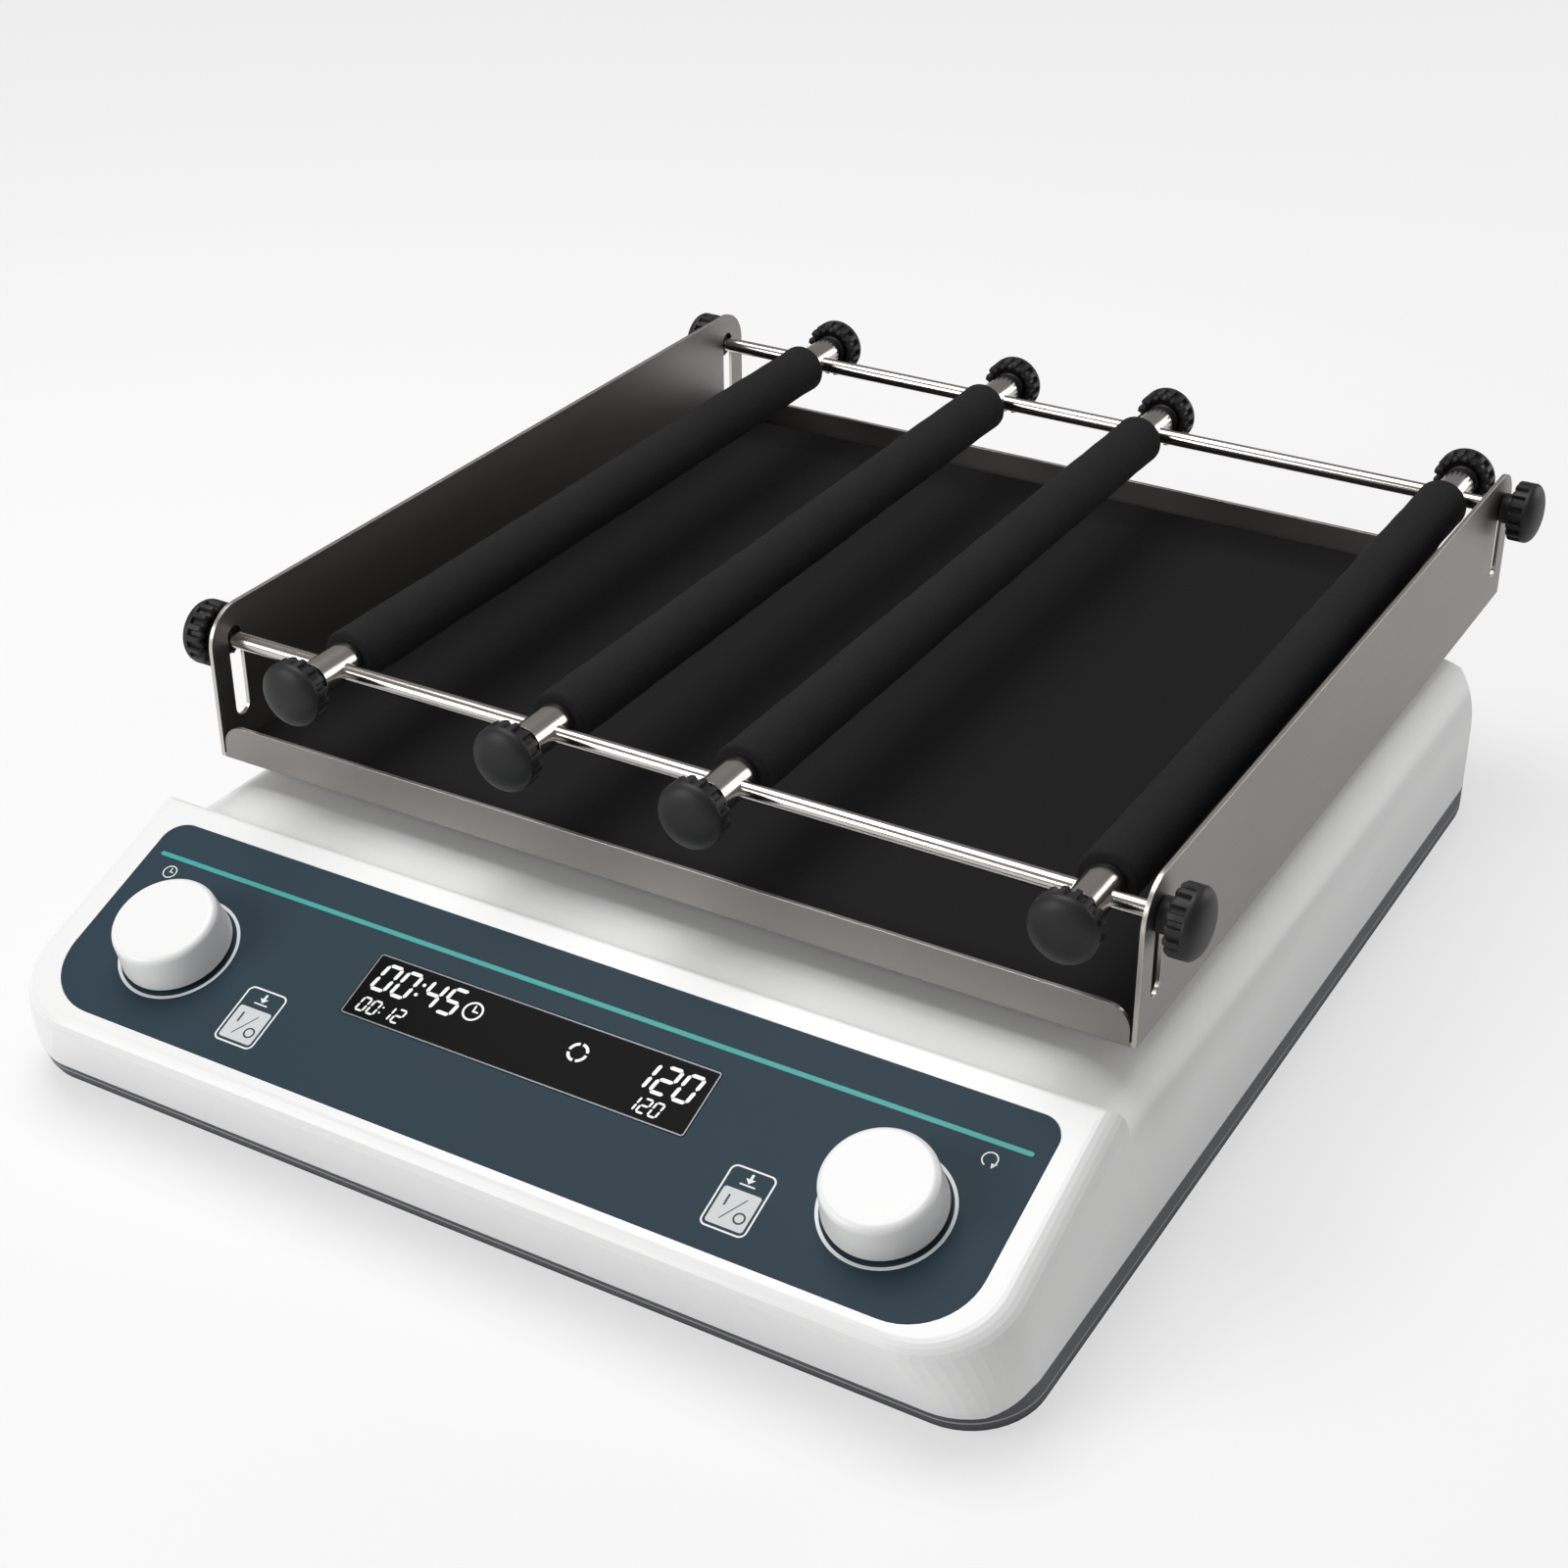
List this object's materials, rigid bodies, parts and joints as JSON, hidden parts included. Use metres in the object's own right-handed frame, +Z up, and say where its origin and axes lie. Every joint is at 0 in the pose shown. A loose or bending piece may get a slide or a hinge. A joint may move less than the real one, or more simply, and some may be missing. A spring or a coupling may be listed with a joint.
{
  "type": "orbital shaker",
  "caption": "Bench orbital shaker with a sloped control panel, two press-and-turn dials and a circling steel tray with foam clamp rollers on two height-adjustable rods",
  "frame": {"origin": "centre of the footprint of the whole object, on the surface that the feet stand on", "axes": "+X to the right seen from the operator, +Y away from the operator to the rear, +Z up"},
  "size_m": [0.3786, 0.4762, 0.1285],
  "materials": {
    "housing": "smooth gloss moulding",
    "skirt": "fine satin moulding",
    "bottom": "powder coated sheet",
    "feet": "soft matt rubber",
    "panel": "printed polyester overlay",
    "window": "tinted display lens",
    "display": "display body",
    "board": "solder-masked board",
    "encoder": "stamped and turned",
    "screw": "plated steel",
    "chassis": "zinc plated sheet",
    "bearing_housing": "turned",
    "bearing": "ground bearing steel",
    "winding": "enamelled copper windings",
    "belt": "ribbed belt",
    "steel_dark": "blackened steel",
    "crank": "turned steel",
    "weight": "cast and machined",
    "carriage": "sheet",
    "tray": "brushed stainless sheet with bright edges",
    "mat": "fine textured rubber",
    "rod": "polished stainless bar",
    "roller": "polished turned bar",
    "foam": "closed cell foam",
    "knob": "satin moulded knob with steel screw",
    "dial": "smooth moulded cap",
    "shaft": "turned",
    "fitting": "moulded fitting"
  },
  "bodies": {
    "root": {"housing_shell": "housing", "skirt_frame": "skirt", "bottom_plate": "bottom", "rubber_feet": "feet", "control_panel": "panel", "display_window": "window", "display_module": "display", "control_board": "board", "encoders": "encoder", "housing_screws": "screw", "chassis_plate": "chassis", "drive_bearing_housing": "bearing_housing", "guide_bearing_housings": "bearing_housing", "ball_bearings": "bearing", "motor_stator": "winding", "power_board": "board", "mains_inlet": "fitting", "rocker_frame": "fitting", "drive_belt": "belt"},
    "switch": {"power_rocker": "fitting"},
    "crank": {"drive_crank": "crank", "drive_pulley": "steel_dark", "counterweight": "weight"},
    "motor": {"motor_rotor": "steel_dark"},
    "platform": {"carriage_plate": "carriage", "bearing_cups": "bearing_housing", "pin_bearings": "bearing", "tray": "tray", "tray_screws": "screw", "rubber_mat": "mat"},
    "clamp": {"clamp_rods": "rod"},
    "guide_front_left": {"guide_crank_front_left": "crank"},
    "guide_front_right": {"guide_crank_front_right": "crank"},
    "guide_rear_left": {"guide_crank_rear_left": "crank"},
    "guide_rear_right": {"guide_crank_rear_right": "crank"},
    "knob_front_left": {"rod_knob_front_left": "knob"},
    "knob_front_right": {"rod_knob_front_right": "knob"},
    "knob_rear_left": {"rod_knob_rear_left": "knob"},
    "knob_rear_right": {"rod_knob_rear_right": "knob"},
    "roller_1": {"roller_bar_1": "roller", "foam_sleeve_1": "foam"},
    "roller_1_front_knob": {"roller_knob_front_1": "knob"},
    "roller_1_rear_knob": {"roller_knob_rear_1": "knob"},
    "roller_2": {"roller_bar_2": "roller", "foam_sleeve_2": "foam"},
    "roller_2_front_knob": {"roller_knob_front_2": "knob"},
    "roller_2_rear_knob": {"roller_knob_rear_2": "knob"},
    "roller_3": {"roller_bar_3": "roller", "foam_sleeve_3": "foam"},
    "roller_3_front_knob": {"roller_knob_front_3": "knob"},
    "roller_3_rear_knob": {"roller_knob_rear_3": "knob"},
    "roller_4": {"roller_bar_4": "roller", "foam_sleeve_4": "foam"},
    "roller_4_front_knob": {"roller_knob_front_4": "knob"},
    "roller_4_rear_knob": {"roller_knob_rear_4": "knob"},
    "time_push": {"time_shaft": "shaft"},
    "time_knob": {"time_dial": "dial"},
    "speed_push": {"speed_shaft": "shaft"},
    "speed_knob": {"speed_dial": "dial"}
  },
  "joints": [
    {"name": "drive_spin", "type": "hinge", "parent": "root", "child": "crank", "pos_m": [0, 0.0435, 0.05], "axis": [0, 0, 1], "continuous": true},
    {"name": "platform_orbit", "type": "hinge", "parent": "crank", "child": "platform", "pos_m": [0, 0.0485, 0.066], "axis": [0, 0, 1], "continuous": true},
    {"name": "motor_spin", "type": "hinge", "parent": "root", "child": "motor", "pos_m": [0.092, 0.0435, 0.04], "axis": [0, 0, 1], "continuous": true},
    {"name": "guide_front_left_spin", "type": "hinge", "parent": "root", "child": "guide_front_left", "pos_m": [-0.118, -0.0565, 0.04], "axis": [0, 0, 1], "continuous": true},
    {"name": "guide_front_right_spin", "type": "hinge", "parent": "root", "child": "guide_front_right", "pos_m": [0.118, -0.0565, 0.04], "axis": [0, 0, 1], "continuous": true},
    {"name": "guide_rear_left_spin", "type": "hinge", "parent": "root", "child": "guide_rear_left", "pos_m": [-0.118, 0.1435, 0.04], "axis": [0, 0, 1], "continuous": true},
    {"name": "guide_rear_right_spin", "type": "hinge", "parent": "root", "child": "guide_rear_right", "pos_m": [0.118, 0.1435, 0.04], "axis": [0, 0, 1], "continuous": true},
    {"name": "clamp_height", "type": "slide", "parent": "platform", "child": "clamp", "axis": [0, 0, 1], "range_m": [-0.02, 0]},
    {"name": "knob_front_left_turn", "type": "hinge", "parent": "clamp", "child": "knob_front_left", "pos_m": [-0.174, -0.1147, 0.115], "axis": [-1, 0, 0], "continuous": true},
    {"name": "knob_front_right_turn", "type": "hinge", "parent": "clamp", "child": "knob_front_right", "pos_m": [0.174, -0.1147, 0.115], "axis": [1, 0, 0], "continuous": true},
    {"name": "knob_rear_left_turn", "type": "hinge", "parent": "clamp", "child": "knob_rear_left", "pos_m": [-0.174, 0.2117, 0.115], "axis": [-1, 0, 0], "continuous": true},
    {"name": "knob_rear_right_turn", "type": "hinge", "parent": "clamp", "child": "knob_rear_right", "pos_m": [0.174, 0.2117, 0.115], "axis": [1, 0, 0], "continuous": true},
    {"name": "roller_1_slide", "type": "slide", "parent": "clamp", "child": "roller_1", "axis": [1, 0, 0], "range_m": [-0.031, 0.031]},
    {"name": "roller_1_front_knob_turn", "type": "hinge", "parent": "roller_1", "child": "roller_1_front_knob", "pos_m": [-0.1295, -0.1257, 0.115], "axis": [0, -1, 0], "continuous": true},
    {"name": "roller_1_rear_knob_turn", "type": "hinge", "parent": "roller_1", "child": "roller_1_rear_knob", "pos_m": [-0.1295, 0.2227, 0.115], "axis": [0, 1, 0], "continuous": true},
    {"name": "roller_2_slide", "type": "slide", "parent": "clamp", "child": "roller_2", "axis": [1, 0, 0], "range_m": [-0.031, 0.023]},
    {"name": "roller_2_front_knob_turn", "type": "hinge", "parent": "roller_2", "child": "roller_2_front_knob", "pos_m": [-0.043, -0.1257, 0.115], "axis": [0, -1, 0], "continuous": true},
    {"name": "roller_2_rear_knob_turn", "type": "hinge", "parent": "roller_2", "child": "roller_2_rear_knob", "pos_m": [-0.043, 0.2227, 0.115], "axis": [0, 1, 0], "continuous": true},
    {"name": "roller_3_slide", "type": "slide", "parent": "clamp", "child": "roller_3", "axis": [1, 0, 0], "range_m": [-0.023, 0.051]},
    {"name": "roller_3_front_knob_turn", "type": "hinge", "parent": "roller_3", "child": "roller_3_front_knob", "pos_m": [0.027, -0.1257, 0.115], "axis": [0, -1, 0], "continuous": true},
    {"name": "roller_3_rear_knob_turn", "type": "hinge", "parent": "roller_3", "child": "roller_3_rear_knob", "pos_m": [0.027, 0.2227, 0.115], "axis": [0, 1, 0], "continuous": true},
    {"name": "roller_4_slide", "type": "slide", "parent": "clamp", "child": "roller_4", "axis": [1, 0, 0], "range_m": [-0.051, 0.007]},
    {"name": "roller_4_front_knob_turn", "type": "hinge", "parent": "roller_4", "child": "roller_4_front_knob", "pos_m": [0.153, -0.1257, 0.115], "axis": [0, -1, 0], "continuous": true},
    {"name": "roller_4_rear_knob_turn", "type": "hinge", "parent": "roller_4", "child": "roller_4_rear_knob", "pos_m": [0.153, 0.2227, 0.115], "axis": [0, 1, 0], "continuous": true},
    {"name": "time_press", "type": "slide", "parent": "root", "child": "time_push", "axis": [0, -0.342, 0.9397], "range_m": [-0.0008, 0], "stiffness_N_per_m": 800, "springref_m": 0.001},
    {"name": "time_turn", "type": "hinge", "parent": "time_push", "child": "time_knob", "pos_m": [-0.1315, -0.20136, 0.05169], "axis": [0, -0.342, 0.9397], "continuous": true},
    {"name": "speed_press", "type": "slide", "parent": "root", "child": "speed_push", "axis": [0, -0.342, 0.9397], "range_m": [-0.0008, 0], "stiffness_N_per_m": 800, "springref_m": 0.001},
    {"name": "speed_turn", "type": "hinge", "parent": "speed_push", "child": "speed_knob", "pos_m": [0.1315, -0.20136, 0.05169], "axis": [0, -0.342, 0.9397], "continuous": true},
    {"name": "switch_rock", "type": "hinge", "parent": "root", "child": "switch", "pos_m": [0.068, 0.1815, 0.0355], "axis": [1, 0, 0], "range_deg": [-12, 0]}
  ],
  "couplings": [
    {"joint": "platform_orbit", "follows": "drive_spin", "ratio": -1},
    {"joint": "motor_spin", "follows": "drive_spin", "ratio": 4},
    {"joint": "guide_front_left_spin", "follows": "drive_spin", "ratio": 1},
    {"joint": "guide_front_right_spin", "follows": "drive_spin", "ratio": 1},
    {"joint": "guide_rear_left_spin", "follows": "drive_spin", "ratio": 1},
    {"joint": "guide_rear_right_spin", "follows": "drive_spin", "ratio": 1}
  ]
}
